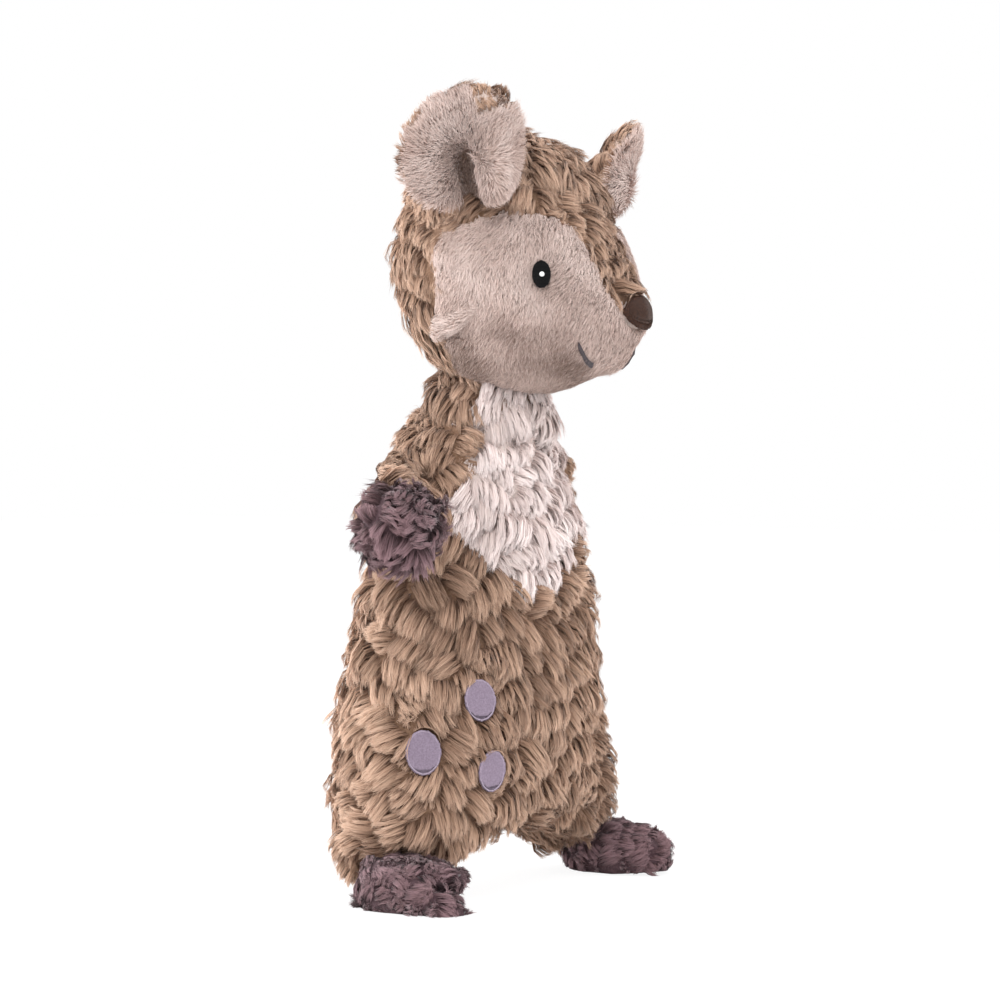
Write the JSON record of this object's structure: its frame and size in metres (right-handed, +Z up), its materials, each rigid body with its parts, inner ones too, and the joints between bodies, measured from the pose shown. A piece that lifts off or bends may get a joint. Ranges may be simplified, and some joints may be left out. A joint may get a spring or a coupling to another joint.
{
  "type": "plush fawn lovey",
  "caption": "Plush fawn lovey with curly pile, cupped ears, bib, three stitched spots, soft arms and cleft feet, standing upright on both feet.",
  "frame": {"origin": "on the floor under the middle of the toy's bounding box", "axes": "+Z up from the soles to the ears, the toy faces -Y, its right hand is on the -X side"},
  "size_m": [0.1766, 0.1176, 0.307],
  "materials": {
    "fawn_plush": "curly deep pile, matt",
    "cream_plush": "short smooth pile, matt",
    "bib_plush": "curly deep pile, matt",
    "mauve_plush": "swirly pile, matt",
    "lilac_thread": "satin stitch",
    "nose_thread": "satin stitch",
    "black_thread": "satin stitch",
    "white_thread": "satin stitch",
    "grey_thread": "satin stitch",
    "filling": "loose fibre filling"
  },
  "bodies": {
    "torso": {"body_front": "fawn_plush", "bib": "bib_plush", "body_back": "fawn_plush", "body_filling": "filling", "spot_upper": "lilac_thread", "spot_outer": "lilac_thread", "spot_inner": "lilac_thread"},
    "neck": {"neck_filling": "filling"},
    "head": {"chin_gusset": "cream_plush", "cheek_right": "cream_plush", "cheek_left": "cream_plush", "head_crown": "fawn_plush", "head_filling": "filling", "eye_right": "black_thread", "glint_right": "white_thread", "mouth_right": "grey_thread", "eye_left": "black_thread", "glint_left": "white_thread", "mouth_left": "grey_thread", "nose": "nose_thread"},
    "ear_right": {"ear_right_back": "fawn_plush", "ear_right_cup": "cream_plush"},
    "arm_right": {"arm_right_sleeve": "fawn_plush", "paw_right": "mauve_plush", "arm_right_filling": "filling"},
    "foot_right": {"foot_right_upper": "mauve_plush", "foot_right_sole": "mauve_plush", "foot_right_filling": "filling"},
    "ear_left": {"ear_left_back": "fawn_plush", "ear_left_cup": "cream_plush"},
    "arm_left": {"arm_left_sleeve": "fawn_plush", "paw_left": "mauve_plush", "arm_left_filling": "filling"},
    "foot_left": {"foot_left_upper": "mauve_plush", "foot_left_sole": "mauve_plush", "foot_left_filling": "filling"}
  },
  "joints": [
    {"name": "head_turn", "type": "hinge", "parent": "torso", "child": "neck", "pos_m": [0.00233, 0.01125, 0.186], "axis": [0, 0, 1], "range_deg": [-50, 50], "stiffness_Nm_per_rad": 0.25},
    {"name": "head_nod", "type": "hinge", "parent": "neck", "child": "head", "pos_m": [0.00233, 0.01125, 0.186], "axis": [0.9903, 0.1392, 0], "range_deg": [-12, 12], "stiffness_Nm_per_rad": 2.5},
    {"name": "ear_right_flap", "type": "hinge", "parent": "head", "child": "ear_right", "pos_m": [-0.04125, -0.01475, 0.26777], "axis": [0.696, -0.6721, 0.2528], "range_deg": [-8, 20], "stiffness_Nm_per_rad": 0.04},
    {"name": "ear_left_flap", "type": "hinge", "parent": "head", "child": "ear_left", "pos_m": [0.05139, -0.00173, 0.26777], "axis": [0.4127, 0.7149, -0.5644], "range_deg": [-8, 20], "stiffness_Nm_per_rad": 0.04},
    {"name": "arm_right_swing", "type": "hinge", "parent": "torso", "child": "arm_right", "pos_m": [-0.04769, 0.01654, 0.16182], "axis": [0, 0, 1], "range_deg": [-90, 15], "stiffness_Nm_per_rad": 0.08},
    {"name": "arm_left_swing", "type": "hinge", "parent": "torso", "child": "arm_left", "pos_m": [0.05235, 0.01654, 0.16182], "axis": [0, 0, 1], "range_deg": [-90, 5], "stiffness_Nm_per_rad": 0.08},
    {"name": "foot_right_turn", "type": "hinge", "parent": "torso", "child": "foot_right", "pos_m": [-0.06367, 0.00325, 0.021], "axis": [0, 0, 1], "range_deg": [-20, 20], "stiffness_Nm_per_rad": 0.8},
    {"name": "foot_left_turn", "type": "hinge", "parent": "torso", "child": "foot_left", "pos_m": [0.06833, 0.00325, 0.021], "axis": [0, 0, 1], "range_deg": [-20, 20], "stiffness_Nm_per_rad": 0.8}
  ]
}
